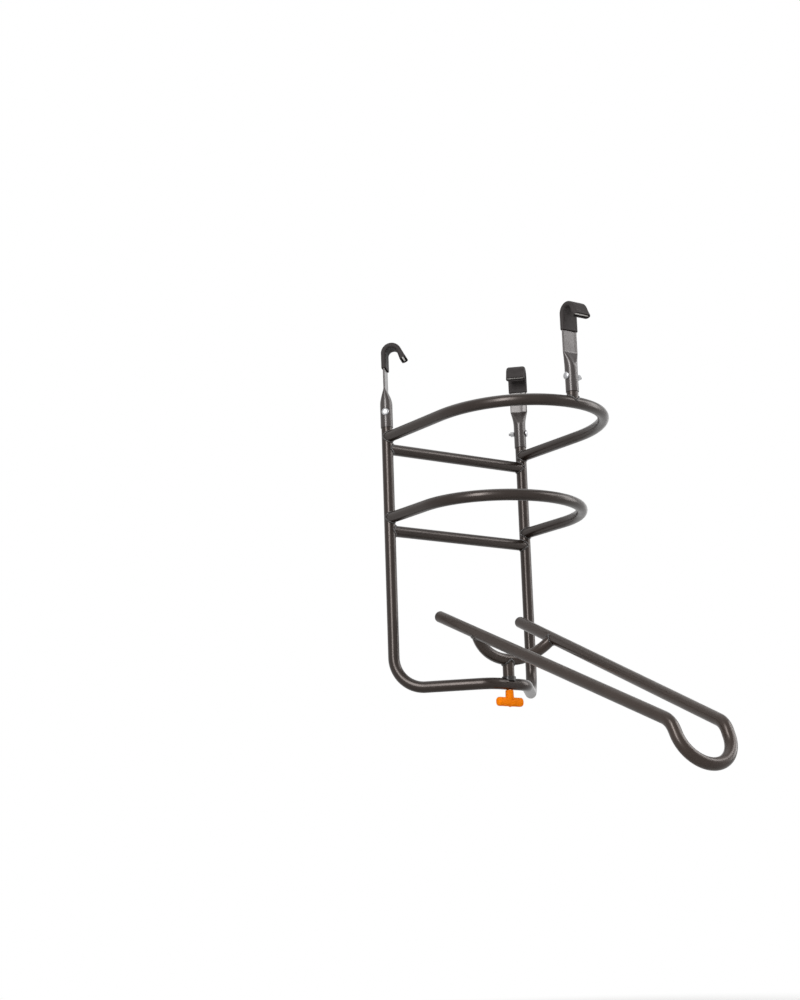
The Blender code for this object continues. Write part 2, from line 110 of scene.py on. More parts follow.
def closedShell(grid, wrapRows=False, edge=None):
    # quads between neighbouring rows and columns; columns join up, and either the rows join up as well
    # or each end row closes on its own middle with a fan. Turned over if its signed volume is negative
    rows, columns = grid.shape[:2]
    index = np.arange(rows * columns).reshape(rows, columns)
    first = index if wrapRows else index[:-1]
    second = np.roll(index, -1, axis=0) if wrapRows else index[1:]
    quads = np.stack([first, np.roll(first, -1, 1), np.roll(second, -1, 1), second], -1).reshape(-1, 4)
    points = grid.reshape(-1, 3)
    fans = np.empty((0, 3), int)
    edge = np.zeros((rows, columns)) if edge is None else np.broadcast_to(edge, (rows, columns))
    edge = edge.reshape(-1)
    if not wrapRows:
        points = np.vstack([points, grid[0].mean(0), grid[-1].mean(0)])
        edge = np.append(edge, [edge[0], edge[-1]])
        startPole = np.full(columns, rows * columns)
        fans = np.vstack([np.stack([startPole, np.roll(index[0], -1), index[0]], -1),
                          np.stack([startPole + 1, index[-1], np.roll(index[-1], -1)], -1)])
    threes = np.vstack([quads[:, [0, 1, 2]], quads[:, [0, 2, 3]], fans])
    corners = points[threes] - points.mean(0)
    volume = np.einsum("ij,ij->", corners[:, 0], np.cross(corners[:, 1], corners[:, 2]))
    if volume < 0:
        quads, fans = quads[:, ::-1], fans[:, ::-1]
    return {"points": points, "quads": quads, "fans": fans, "edge": edge}


def addPiece(name, shells, material, body=None, replaced=(), sharp=None):
    # one mesh at the origin out of closed shells, with the edge mask as a point attribute
    starts = np.cumsum([0] + [len(shell["points"]) for shell in shells])
    faces = [(shell[kind] + start).tolist() for kind in ("quads", "fans")
             for shell, start in zip(shells, starts)]
    mesh = bpy.data.meshes.new(name)
    mesh.from_pydata(np.vstack([shell["points"] for shell in shells]).tolist(), [], sum(faces, []))
    mesh.validate()
    mask = mesh.attributes.new("edge", "FLOAT", "POINT")
    mask.data.foreach_set("value", np.concatenate([shell["edge"] for shell in shells]).astype(np.float32))
    mesh.shade_smooth()
    if sharp:
        mesh.set_sharp_from_angle(angle=math.radians(sharp))
    mesh.materials.append(material)
    piece = bpy.data.objects.new(name, mesh)
    scene.collection.objects.link(piece)
    if body:
        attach(piece, body)
    if replaced:
        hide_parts(*replaced)
    return piece


def filletedPath(corners, bends, step):
    # corner points, with an arc centre + start · cos a + side · sin a in place of each inner corner
    corners = np.array(corners, float)
    stretches = [corners[:1]]
    for before, corner, after, radius in zip(corners[:-2], corners[1:-1], corners[2:], bends):
        arrive, leave = unit(corner - before), unit(after - corner)
        turn = math.acos(float(arrive @ leave))
        centre = corner + unit(leave - arrive) * radius / math.cos(turn / 2)
        start = corner - arrive * radius * math.tan(turn / 2) - centre
        side = np.cross(unit(np.cross(arrive, leave)), start)
        angles = np.linspace(0, turn, math.ceil(math.degrees(turn) / step) + 1)
        stretches.append(centre + turned(angles, start, side))
    return np.vstack(stretches + [corners[-1:]])


def pathTangents(path):
    # the first and the last step, and at each point between them the mean of its two steps
    steps = unit(np.diff(path, axis=0))
    return unit(np.vstack([steps[:1], steps[:-1] + steps[1:], steps[-1:]]))


def sweep(path, tangents, reference, radius, columns):
    # circles square to the path: path + radius · (cos a · across + sin a · over), where across is
    # reference × tangent
    across = unit(np.cross(reference, tangents))
    over = np.cross(tangents, across)
    ring = turned(columnAngles(columns)[None], across[:, None], over[:, None])
    return path[:, None] + radius * ring


def meetTube(ring, direction, axisPoint, axisDirection, radius):
    # slides points along the direction to where they first lie at that radius from the other tube's axis:
    # the smaller root of |away + s · slide|² = radius²
    away = ring - axisPoint
    away = away - (away @ axisDirection)[..., None] * axisDirection
    slide = direction - axisDirection * (direction @ axisDirection)
    a = slide @ slide
    b = away @ slide
    c = (away ** 2).sum(-1) - radius ** 2
    return ring + ((-b - np.sqrt(np.maximum(b * b - a * c, 0))) / a)[..., None] * direction


tubeValues = {
    "radius": 0.0119,
    "wall": 0.0015,
    "weldGap": 0.00045,
    "columns": 48,
    "bendStep": 2.5,  # degrees of bend between two rows
    "crispAngle": 40,  # degrees between faces past which an edge stays crisp
}


def tubeShell(path, reference, startCut=None, endCut=None, tangents=None, values=tubeValues):
    # out along the outside and back along the bore; a cut is the axis of the tube that the end meets
    tangents = pathTangents(path) if tangents is None else tangents
    skins = []
    for radius in (values["radius"], values["radius"] - values["wall"]):
        skin = sweep(path, tangents, reference, radius, values["columns"])
        reach = values["radius"] + values["weldGap"]
        if startCut:
            skin[0] = meetTube(skin[0], -tangents[0], *startCut, reach)
        if endCut:
            skin[-1] = meetTube(skin[-1], tangents[-1], *endCut, reach)
        skins.append(skin)
    return closedShell(np.vstack([skins[0], skins[1][::-1]]), wrapRows=True)


weldValues = {
    "thickness": 0.0021,
    "ripples": 25,
    "rippleHeight": 0.13,  # share of the thickness
    "lean": 1.8,  # how far each ripple trails across the bead
    "wander": 0.12,
    "waves": ((3, 1.0, 1.0), (7, 0.7, 2.3), (11, 0.5, 4.1)),  # count, size and shift by seed of each
    "standOff": 1.004,  # share of the tube's radius
    "steepest": 1.0,  # the climb past which the bead gets no longer
    "rows": 168,
    "columns": 14,
}


def weldShell(centre, direction, axisPoint, axisDirection, reference, seed, values=weldValues):
    # a rippled ring on the seam between two tubes: seam(a) + t(a, b) · (cos b · radial + sin b · backward),
    # t = thickness · (1 + ripple · sin(ripples · a + lean · cos b) + slow wander), longer where it climbs
    a = columnAngles(values["rows"])
    across = unit(np.cross(reference, direction))
    radial = turned(a, across, np.cross(direction, across))
    seam = meetTube(centre + tubeValues["radius"] * radial, direction, axisPoint, axisDirection,
                    tubeValues["radius"] * values["standOff"])
    climb = np.gradient(seam @ direction, fullTurn / values["rows"]) / tubeValues["radius"]
    b = columnAngles(values["columns"])[None]
    wander = sum(size * np.sin(count * a + shift * seed) for count, size, shift in values["waves"])
    ripple = np.sin(values["ripples"] * a[:, None] + values["lean"] * np.cos(b))
    thick = values["thickness"] * (1 + values["rippleHeight"] * ripple + values["wander"] * wander[:, None])
    stretch = np.sqrt(1 + np.minimum(climb, values["steepest"])[:, None] ** 2)
    along = thick * stretch * np.sin(b)
    grid = seam[:, None] + (thick * np.cos(b))[..., None] * radial[:, None] - along[..., None] * direction
    return closedShell(grid, wrapRows=True)


def aboutAxis(base, axis, side, radii, heights, columns):
    # base + axis · height + radius · (cos a · side + sin a · axis × side); one height and radius for a
    # row, or one for each of its columns
    radii, heights = (np.reshape(part, (len(part), -1, 1)) for part in (radii, heights))
    return base + heights * axis + radii * turned(columnAngles(columns), side, np.cross(axis, side))


def lathe(profile, base, axis, side, columns, edge=None):
    # a turned solid from rows of (radius, height)
    return closedShell(aboutAxis(base, axis, side, *np.transpose(profile), columns), edge=edge)


def joined(*stretches):
    # each stretch gives the same kinds of value, as an array or as one number for all its rows; the
    # stretches follow one another, and an array comes back for each kind
    rows = [np.broadcast_arrays(*np.atleast_1d(*stretch)) for stretch in stretches]
    return [np.concatenate(kind) for kind in zip(*rows)]


def roundedLine(corners, radii, steps=5):
    # a profile of (radius, height) points with each inner corner rounded by a quadratic curve
    corners = np.array(corners, float)
    share = np.linspace(0, 1, steps + 1)[:, None]
    stretches = [corners[:1]]
    for before, corner, after, radius in zip(corners[:-2], corners[1:-1], corners[2:], radii):
        start = corner + unit(before - corner) * radius
        end = corner + unit(after - corner) * radius
        stretches.append((1 - share) ** 2 * start + 2 * share * (1 - share) * corner + share ** 2 * end)
    return np.vstack(stretches + [corners[-1:]])


# Material tools
def put(tree, kind, inputs=None, **settings):
    # a node with its settings, whose inputs are linked where a socket is given and set where a value is
    node = tree.nodes.new("ShaderNode" + kind)
    for key, value in settings.items():
        setattr(node, key, value)
    for key, value in (inputs or {}).items():
        if isinstance(value, bpy.types.NodeSocket):
            tree.links.new(value, node.inputs[key])
        else:
            node.inputs[key].default_value = value
    return node


def maths(tree, operation, first, second=0.0, clamp=False):
    return put(tree, "Math", {0: first, 1: second}, operation=operation, use_clamp=clamp).outputs[0]


def spread(tree, value, low, high, newLow=0.0, newHigh=1.0):
    # a value's range from low to high laid over a new range, smooth at both ends and held beyond them
    return put(tree, "MapRange", {"Value": value, "From Min": low, "From Max": high, "To Min": newLow,
                                  "To Max": newHigh}, interpolation_type="SMOOTHSTEP").outputs["Result"]


def noise(tree, place, scale, detail, roughness=0.5):
    # 0 to 1, different from place to place
    return put(tree, "TexNoise", {"Vector": place, "Scale": scale, "Detail": detail,
                                  "Roughness": roughness}).outputs[0]


def blendColours(tree, share, first, second):
    # first + share · (second - first)
    first, second = (colour if isinstance(colour, bpy.types.NodeSocket) else (*colour, 1.0)
                     for colour in (first, second))
    return put(tree, "Mix", {0: share, 6: first, 7: second}, data_type="RGBA").outputs[2]


def newGroup(name, inputs, outputs):
    # an empty node group, with the sockets that come in and those that go out
    group = bpy.data.node_groups.new(name, "ShaderNodeTree")
    for way, sockets in (("INPUT", inputs), ("OUTPUT", outputs)):
        for label, kind in sockets.items():
            group.interface.new_socket(name=label, in_out=way, socket_type="NodeSocket" + kind)
    return group, group.nodes.new("NodeGroupInput").outputs, group.nodes.new("NodeGroupOutput").inputs


skinValues = {
    "grainDetail": 2.0,
    "patchDetail": 4.0,
    "patchRoughness": 0.6,
    "patchRange": (0.3, 0.7),
    "speckScale": 0.35,  # of the grain's scale
    "speckReach": (0.12, 0.26),  # a speck fades out between these distances from its middle
    "speckChance": 0.93,  # only cells above this have a speck
}
rubValues = {"detail": 6.0, "roughness": 0.7, "softness": 0.25}
dustValues = {"scale": 60.0, "detail": 5.0, "facing": (0.2, 1.0), "cloud": (0.35, 0.7)}
marksValues = {"detail": 3.0}


def makeSkinGroup(values):
    # the skin of a sprayed or moulded surface: fine bumps, slow patches and a few specks
    group, given, result = newGroup("surfaceSkin", {"Vector": "Vector", "Grain Scale": "Float",
                                                    "Patch Scale": "Float"},
                                    {"Grain": "Float", "Patch": "Float", "Speck": "Float"})
    place, grainScale = given["Vector"], given["Grain Scale"]
    patch = noise(group, place, given["Patch Scale"], values["patchDetail"], values["patchRoughness"])
    cell = put(group, "TexVoronoi", {"Vector": place,
                                     "Scale": maths(group, "MULTIPLY", grainScale, values["speckScale"])})
    chance = put(group, "SeparateColor", {"Color": cell.outputs["Color"]}).outputs[0]
    near = spread(group, cell.outputs["Distance"], *values["speckReach"], 1.0, 0.0)
    rare = maths(group, "GREATER_THAN", chance, values["speckChance"])
    group.links.new(noise(group, place, grainScale, values["grainDetail"]), result["Grain"])
    group.links.new(spread(group, patch, *values["patchRange"]), result["Patch"])
    group.links.new(maths(group, "MULTIPLY", near, rare), result["Speck"])
    return group


def makeRubGroup(values):
    # rub and wear that follows a piece's edge mask and breaks up into scratches and nicks
    group, given, result = newGroup("edgeRub", {"Vector": "Vector", "Edge": "Float", "Scale": "Float",
                                                "Amount": "Float"}, {"Rub": "Float"})
    broken = noise(group, given["Vector"], given["Scale"], values["detail"], values["roughness"])
    raised = maths(group, "ADD", maths(group, "MULTIPLY", given["Edge"], given["Amount"]),
                   maths(group, "SUBTRACT", broken, 1.0))
    group.links.new(spread(group, raised, 0.0, values["softness"]), result["Rub"])
    return group


def makeDustGroup(values):
    # a thin film of dust on the faces that look upwards
    group, given, result = newGroup("dustFilm", {"Vector": "Vector", "Amount": "Float"}, {"Dust": "Float"})
    height = put(group, "SeparateXYZ", {"Vector": put(group, "NewGeometry").outputs["Normal"]})
    cloud = noise(group, given["Vector"], values["scale"], values["detail"])
    film = maths(group, "MULTIPLY", spread(group, height.outputs["Z"], *values["facing"]),
                 spread(group, cloud, *values["cloud"]))
    group.links.new(maths(group, "MULTIPLY", film, given["Amount"]), result["Dust"])
    return group


def makeMarksGroup(values):
    # fine tool marks: noise that is stretched by the given scales
    group, given, result = newGroup("toolMarks", {"Vector": "Vector", "Stretch": "Vector"},
                                    {"Marks": "Float"})
    scaled = put(group, "VectorMath", {0: given["Vector"], 1: given["Stretch"]}, operation="MULTIPLY")
    group.links.new(noise(group, scaled.outputs[0], 1.0, values["detail"]), result["Marks"])
    return group


skinGroup = makeSkinGroup(skinValues)
rubGroup = makeRubGroup(rubValues)
dustGroup = makeDustGroup(dustValues)
marksGroup = makeMarksGroup(marksValues)

print("materials")
plainFinish = {  # what a finish has unless it says otherwise
    "metallic": 0.0,
    "specular": 0.5,
    "tint": (1.0, 1.0, 1.0),  # of the reflections
    "rub": 0.5,
    "dust": 0.05,
    "marks": None,  # how far tool marks are squeezed along X, Y and Z
}
finishValues = {  # colours: the base, its slow patches and where it is rubbed. grain: scale and depth
    # black satin powder coat on all the bent tube
    "powderCoat": {
        "colours": ((0.0075, 0.0042, 0.0028), (0.0095, 0.0060, 0.0045), (0.05, 0.045, 0.042)),
        "grain": (850.0, 0.000008), "patchScale": 22.0, "roughness": (0.28, 0.32), "specular": 0.44,
        "tint": (1.0, 0.89, 0.84), "dust": 0.04},
    # the chute's copy of the black tube coat: duller, with a lighter, browner base that is painted light,
    # standing in for how the light falls on the rails
    "chutePaintedLightCoat": {
        "colours": ((0.0190, 0.0128, 0.0100), (0.0225, 0.0155, 0.0125), (0.05, 0.043, 0.038)),
        "grain": (850.0, 0.00001), "patchScale": 22.0, "roughness": (0.28, 0.33), "specular": 0.40,
        "tint": (1.0, 0.88, 0.82), "dust": 0.02},
    # the tube coat over the weld beads, with its base painted lighter than the tubes' as painted fill light
    # against the shade of the corners where the beads sit
    "weldPaintedFillCoat": {
        "colours": ((0.0125, 0.010, 0.009), (0.018, 0.0145, 0.013), (0.05, 0.047, 0.045)),
        "grain": (420.0, 0.0001), "patchScale": 160.0, "roughness": (0.26, 0.34), "specular": 0.6,
        "rub": 0.0, "dust": 0.04},
    # smooth dark metallic coat on the hooks
    "armCoat": {
        "colours": ((0.030, 0.023, 0.0215), (0.038, 0.031, 0.029), (0.12, 0.11, 0.11)),
        "grain": (700.0, 0.000002), "patchScale": 60.0, "roughness": (0.27, 0.32), "specular": 0.62,
        "metallic": 0.25, "rub": 0.3, "dust": 0.015},
    # soft dull vinyl on the hook sleeves
    "sleeveVinyl": {
        "colours": ((0.030, 0.026, 0.0255), (0.038, 0.0335, 0.033), (0.07, 0.068, 0.066)),
        "grain": (1300.0, 0.00001), "patchScale": 90.0, "roughness": (0.56, 0.64), "specular": 0.11,
        "rub": 0.35, "dust": 0.06},
    # bright zinc on bolts, nuts and stud
    "zincPlate": {
        "colours": ((0.36, 0.36, 0.38), (0.44, 0.44, 0.44), (0.8, 0.8, 0.8)),
        "grain": (1800.0, 0.00002), "patchScale": 140.0, "roughness": (0.30, 0.42), "metallic": 1.0,
        "rub": 0.6, "marks": (2200.0, 2200.0, 260.0)},
    # bare steel of the strips' cut ends
    "cutSteel": {
        "colours": ((0.55, 0.54, 0.52), (0.40, 0.38, 0.36), (0.6, 0.6, 0.6)),
        "grain": (1500.0, 0.00001), "patchScale": 300.0, "roughness": (0.40, 0.50), "metallic": 0.9,
        "rub": 0.0, "dust": 0.0},
    # painted steel of the saddle and the stem's threaded plug
    "saddlePaint": {
        "colours": ((0.016, 0.014, 0.013), (0.024, 0.021, 0.020), (0.11, 0.10, 0.095)),
        "grain": (1200.0, 0.00004), "patchScale": 120.0, "roughness": (0.30, 0.40), "specular": 0.35,
        "metallic": 0.2, "dust": 0.03, "marks": (260.0, 260.0, 1500.0)},
    # black moulded plugs in the rail ends
    "plugPlastic": {
        "colours": ((0.014, 0.014, 0.0145), (0.02, 0.02, 0.02), (0.06, 0.06, 0.06)),
        "grain": (2200.0, 0.00004), "patchScale": 120.0, "roughness": (0.45, 0.6), "specular": 0.45,
        "rub": 0.6},
    # orange moulded T knob
    "knobOrange": {
        "colours": ((0.80, 0.188, 0.0004), (0.76, 0.172, 0.0003), (0.93, 0.33, 0.06)),
        "grain": (2400.0, 0.00003), "patchScale": 55.0, "roughness": (0.55, 0.62), "specular": 0.06,
        "dust": 0.006},
}
layerValues = {  # how the layers of every finish mix
    "rubScale": 0.25,  # of the grain's scale
    "speckShare": 0.35,
    "dustColour": (0.33, 0.31, 0.29),
    "dustRoughness": 0.6,
    "marksHeight": 1.5,
    "marksRoughness": 0.12,
}


def makeFinish(name, values, layers=layerValues):
    # base colour from slow patches, dust and edge rub; roughness and bump from the same skin
    material = bpy.data.materials.new(name)
    material.use_nodes = True
    tree = material.node_tree
    base, patches, rubbed = values["colours"]
    grainScale, grainDepth = values["grain"]
    shader = tree.nodes["Principled BSDF"].inputs
    shader["Metallic"].default_value = values["metallic"]
    shader["Specular IOR Level"].default_value = values["specular"]
    shader["Specular Tint"].default_value = (*values["tint"], 1.0)
    place = put(tree, "TexCoord").outputs["Object"]
    edge = put(tree, "Attribute", attribute_name="edge").outputs["Fac"]
    skin = put(tree, "Group", {"Vector": place, "Grain Scale": grainScale,
                               "Patch Scale": values["patchScale"]}, node_tree=skinGroup).outputs
    rub = put(tree, "Group", {"Vector": place, "Edge": edge, "Scale": grainScale * layers["rubScale"],
                              "Amount": values["rub"]}, node_tree=rubGroup).outputs["Rub"]
    dust = put(tree, "Group", {"Vector": place, "Amount": values["dust"]},
               node_tree=dustGroup).outputs["Dust"]
    speck = maths(tree, "MULTIPLY", skin["Speck"], layers["speckShare"])
    colour = blendColours(tree, skin["Patch"], base, patches)
    for share, over in ((speck, rubbed), (rub, rubbed), (dust, layers["dustColour"])):
        colour = blendColours(tree, share, colour, over)
    tree.links.new(colour, shader["Base Color"])
    rough = spread(tree, skin["Patch"], 0.0, 1.0, *values["roughness"])
    rough = maths(tree, "ADD", rough, maths(tree, "MULTIPLY", dust, layers["dustRoughness"]), clamp=True)
    height = skin["Grain"]
    if values["marks"]:
        marks = put(tree, "Group", {"Vector": place, "Stretch": values["marks"]},
                    node_tree=marksGroup).outputs["Marks"]
        height = maths(tree, "ADD", height, maths(tree, "MULTIPLY", marks, layers["marksHeight"]))
        scratched = maths(tree, "MULTIPLY", maths(tree, "SUBTRACT", marks, 0.5), layers["marksRoughness"])
        rough = maths(tree, "ADD", rough, scratched, clamp=True)
    tree.links.new(rough, shader["Roughness"])
    bump = put(tree, "Bump", {"Height": height, "Distance": grainDepth, "Strength": 1.0})
    tree.links.new(bump.outputs[0], shader["Normal"])
    material.diffuse_color = (*base, 1.0)
    return material


finishes = {name: makeFinish(name, {**plainFinish, **values}) for name, values in finishValues.items()}


# Bent tube frame
print("frame tubes")
frameValues = {
    "legCircle": 0.2548,  # the rear legs' distance from the origin's upright axis
    "rearAzimuth": 45.0,
    "topDepth": 0.116,
    "barDepth": 0.7215,
    "cornerBend": 0.065,
    "barBend": 0.05,
    "flatHalfLength": 0.045,
    "swivelSetback": 0.0285,
    "frontReach": 0.2204,
}
hoopValues = {
    "upperHoop": {"depth": 0.185, "reach": 0.2204, "shoulder": -0.014, "fullness": 2.08,
                  "seed": 2.0, "node": "upper_hoop"},
    "lowerHoop": {"depth": 0.361, "reach": 0.131, "shoulder": 0.045, "fullness": 2.0,
                  "seed": 7.0, "node": "lower_hoop"},
}
crossbarValues = {
    "upperCrossbar": {"depth": 0.2105, "seed": 3.7, "node": "upper_crossbar"},
    "lowerCrossbar": {"depth": 0.388, "seed": 6.7, "node": "lower_crossbar"},
}
rearAzimuth = math.radians(frameValues["rearAzimuth"])
postSpan = frameValues["legCircle"] * math.cos(rearAzimuth)
postSetback = frameValues["legCircle"] * math.sin(rearAzimuth)
posts = {side: np.array([side * postSpan, postSetback, 0.0]) for side in (-1, 1)}
frontPost = -frameValues["frontReach"] * back
frameWelds = []
chuteWelds = []


def addTube(name, shell, coat, body, node):
    # the lips at a tube's open ends stay crisp
    addPiece(name, [shell], finishes[coat], body, [node], sharp=tubeValues["crispAngle"])


def makeFrameTube(values):
    # down the left post, in to the flat under the swivel, out again and up the right post
    level = -values["barDepth"] * up
    inner = values["swivelSetback"] * back + level
    flat = values["flatHalfLength"] * right
    tops = values["topDepth"] * up
    corners = [posts[-1] - tops, posts[-1] + level, inner - flat, inner + flat, posts[1] + level,
               posts[1] - tops]
    bends = [values["cornerBend"], values["barBend"], values["barBend"], values["cornerBend"]]
    path = filletedPath(corners, bends, tubeValues["bendStep"])
    addTube("frameTube", tubeShell(path, back), "powderCoat", "frame", "u_frame")


def hoopPath(values, steps=110):
    # straight from the left post to the shoulder, then a half oval |x|^n + |y|^n = 1 scaled to its reach
    angles = math.pi * (1 + np.linspace(0, 1, steps + 1))
    across, ahead = np.cos(angles), np.abs(np.sin(angles))
    size = (np.abs(across) ** values["fullness"] + ahead ** values["fullness"]) ** (-1 / values["fullness"])
    oval = np.stack([postSpan * across * size,
                     values["shoulder"] - (values["reach"] + values["shoulder"]) * ahead * size,
                     np.full_like(size, -values["depth"])], -1)
    level = values["depth"] * up
    return np.vstack([posts[-1] - level, oval, posts[1] - level])


def makeAcross(name, values, path, leaving):
    # a tube from post to post, with a weld bead where it leaves each
    addTube(name, tubeShell(path, up, (posts[-1], up), (posts[1], up)), "powderCoat", "frame",
            values["node"])
    for side, direction in leaving.items():
        frameWelds.append(weldShell(posts[side] - values["depth"] * up, direction, posts[side], up, up,
                                    values["seed"] + side))


def makeStub(values):
    # the short upright that carries the front hook, on top of the upper hoop
    foot = frontPost - hoopValues["upperHoop"]["depth"] * up
    top = frontPost - values["topDepth"] * up
    addTube("frontStub", tubeShell(np.array([foot, top]), back, (foot, right)), "powderCoat", "frame",
            "front_stub")
    frameWelds.append(weldShell(foot, -up, foot, right, back, seed=8.1))


makeFrameTube(frameValues)
for name, values in hoopValues.items():
    makeAcross(name, values, hoopPath(values), {-1: back, 1: back})
for name, values in crossbarValues.items():
    makeAcross(name, values, np.array([posts[-1], posts[1]]) - values["depth"] * up, {-1: -right, 1: right})
makeStub(frameValues)


# Hooks, sleeves, bolts and nuts
print("hooks")
hookValues = {
    "armRadius": 0.0132,
    "armBore": 0.0122,
    "armBottomDepth": 0.1642,
    "boreTopDepth": 0.1145,
    "boreCapShare": 0.9,
    "taperBottomDepth": 0.1145,
    "taperTopDepth": 0.0815,
    "stripHalfWidth": 0.0188,
    "stripHalfThickness": 0.002,
    "bendHeight": -0.0026,
    "bendRadius": 0.0172,
    "bendAngle": 156.0,
    "tipLength": 0.019,
    "tipRoundShare": 0.45,  # of the strip's half thickness
    "dent": 0.0011,  # depth of the pointed dent that the press leaves at the strip's foot
    "dentSkew": 1.6,  # above 1 the dent is deepest further up the taper
    "dentFootWidth": 0.001,
    "dentSpread": 0.011,  # what its half width gains up the taper
    "crease": 0.00035,  # depth of the shallow crease up the strip
    "creasePlace": 0.010,  # from the strip's middle
    "creaseHalfWidth": 0.0042,
    "creaseStart": 4,  # the higher, the later it sets in up the taper
    "creaseFade": 0.01,  # over this length below the bend it dies out
    "lipRound": 0.0006,
    "lipWear": 0.9,
    "edgeWear": 0.8,
    "thinStep": 0.001,  # a point sinks along the way to the same section this much thinner
    "rows": {"lip": 9, "taper": 40, "leg": 24, "bend": 60, "tip": 12, "round": 7},
    "columns": 96,
}
sleeveValues = {
    "gap": 0.0003,
    "wall": 0.0018,
    "halfThickness": 0.0053,
    "mouthHalfThickness": 0.0072,
    "mouthOpening": 1.5,  # the higher, the later the mouth opens
    "bottomDepth": 0.0355,
    "lipLength": 0.0025,
    "folds": 0.00018,  # depth of the small folds on the inside of the bend
    "foldSpacing": 0.0021,
    "foldDrift": 0.005,  # their spacing varies over this length
    "foldDriftShare": 0.6,
    "lipWear": 0.8,
    "edgeWear": 0.55,
    "rows": {"leg": 26, "bend": 90, "tip": 18, "lip": 11},
    "columns": 72,
}
stripEndValues = {"halfLength": 0.0002, "inset": 0.0003, "columns": 64}
nutValues = {
    "halfWidth": 0.005,
    "height": 0.0075,
    "chamferShare": 0.97,  # of the half width, where the chamfer meets the face
    "chamferSlope": 1.7,
    "chamferHeight": 0.0008,
    "flankMargin": 0.0012,
    "boreGap": 0.0002,
    "boreChamfer": 0.0004,
    "crispAngle": 25,
    "wear": 0.8,
    "wearStart": 1.05,  # share of the half width
    "wearRise": 8.0,
    "rows": {"chamfer": 8, "flank": 4},
    "columns": 96,
}
boltValues = {
    "depth": 0.1315,
    "seat": 0.0135,  # from the leg's axis to the head and to the nut
    "radius": 0.003,
    "headRadius": 0.0078,
    "headHeight": 0.0042,
    "headBrim": 0.0008,
    "brimRound": (0.0002, 0.00015),  # inwards and upwards
    "tail": 0.004,
    "tailBevel": (0.0005, 0.0008),
    "threadPitch": 0.001,
    "threadDepth": 0.00035,
    "threadStep": 0.00006,
    "threadStart": 0.0005,  # past the nut's seat
    "threadEnd": 0.0004,  # before the tail's end
    "runOut": 0.0002,
    "crispAngle": 50,
    "wear": 0.8,
    "wearWidth": 0.0006,
    "domeRows": 16,
    "columns": 48,
}
legPlaces = {
    "left": {"foot": posts[-1], "toward": unit(-posts[-1]), "head": unit(-right - back)},
    "right": {"foot": posts[1], "toward": unit(-posts[1]), "head": unit(right - back)},
    "front": {"foot": frontPost, "toward": -back, "head": -right},
}
bendSwing = math.radians(hookValues["bendAngle"])
bendLength = hookValues["bendRadius"] * bendSwing
legLevel = -hookValues["bendHeight"]  # a depth becomes a distance: distance = legLevel - depth
stripEnd = bendLength + hookValues["tipLength"]
stripFlat = hookValues["stripHalfWidth"] - hookValues["stripHalfThickness"]


def hookRows(leg, distance, halfThickness, flatHalf, columns, values=hookValues):
    # a flattened tube carried up the leg, over the bend and down the tip. distance is measured along the
    # middle line from the start of the bend; each row is two half circles of halfThickness with a flat
    # of flatHalf on each side between them, and a row with no flat is a circle. Gives the rows, how far
    # round the narrow side each point is (0 on the flat) and its u, the distance out from the middle line
    distance, halfThickness, flatHalf = np.broadcast_arrays(distance, halfThickness, flatHalf)
    swing = np.clip(distance / values["bendRadius"], 0, bendSwing)
    beyond = np.maximum(distance - bendLength, 0)
    heading = math.pi / 2 - swing
    across = values["bendRadius"] * (1 - np.cos(swing)) + beyond * np.cos(heading)
    height = (values["bendHeight"] + values["bendRadius"] * np.sin(swing) + np.minimum(distance, 0)
              + beyond * np.sin(heading))
    centre = leg["foot"] + across[:, None] * leg["toward"] + height[:, None] * up
    outward = np.sin(heading)[:, None] * leg["toward"] - np.cos(heading)[:, None] * up
    side = np.cross(up, leg["toward"])
    turn = columnAngles(columns)[None] + fullTurn / columns / 2
    quarter = np.arcsin(np.sin(turn))  # folded onto -90 to 90 degrees
    flatShare = (math.pi / 2 * flatHalf / (flatHalf + math.pi / 2 * halfThickness))[:, None]
    arc = np.sign(quarter) * np.maximum(np.abs(quarter) - flatShare, 0) / (1 - flatShare * 2 / math.pi)
    along = np.clip(quarter / np.maximum(flatShare, 1e-6), -1, 1)
    u = np.sign(np.cos(turn)) * halfThickness[:, None] * np.cos(arc)
    v = halfThickness[:, None] * np.sin(arc) + flatHalf[:, None] * along
    rows = centre[:, None] + u[..., None] * outward[:, None] + v[..., None] * side
    return rows, np.abs(np.sin(arc)), u


def sunkRows(rows, sink, leg, distance, halfThickness, *rest):
    # each point moves in by its own sink, towards its place on the same section made thinner
    step = hookValues["thinStep"]
    thinner, _, _ = hookRows(leg, distance, halfThickness - step, *rest)
    return rows + (thinner - rows) * (sink / step)[..., None]


def legToTip(start, end, rows):
    # distances up the leg, round the bend and down the tip
    return np.concatenate([np.linspace(start, 0, rows["leg"]), np.linspace(0, bendLength, rows["bend"])[1:],
                           np.linspace(bendLength, end, rows["tip"])[1:]])


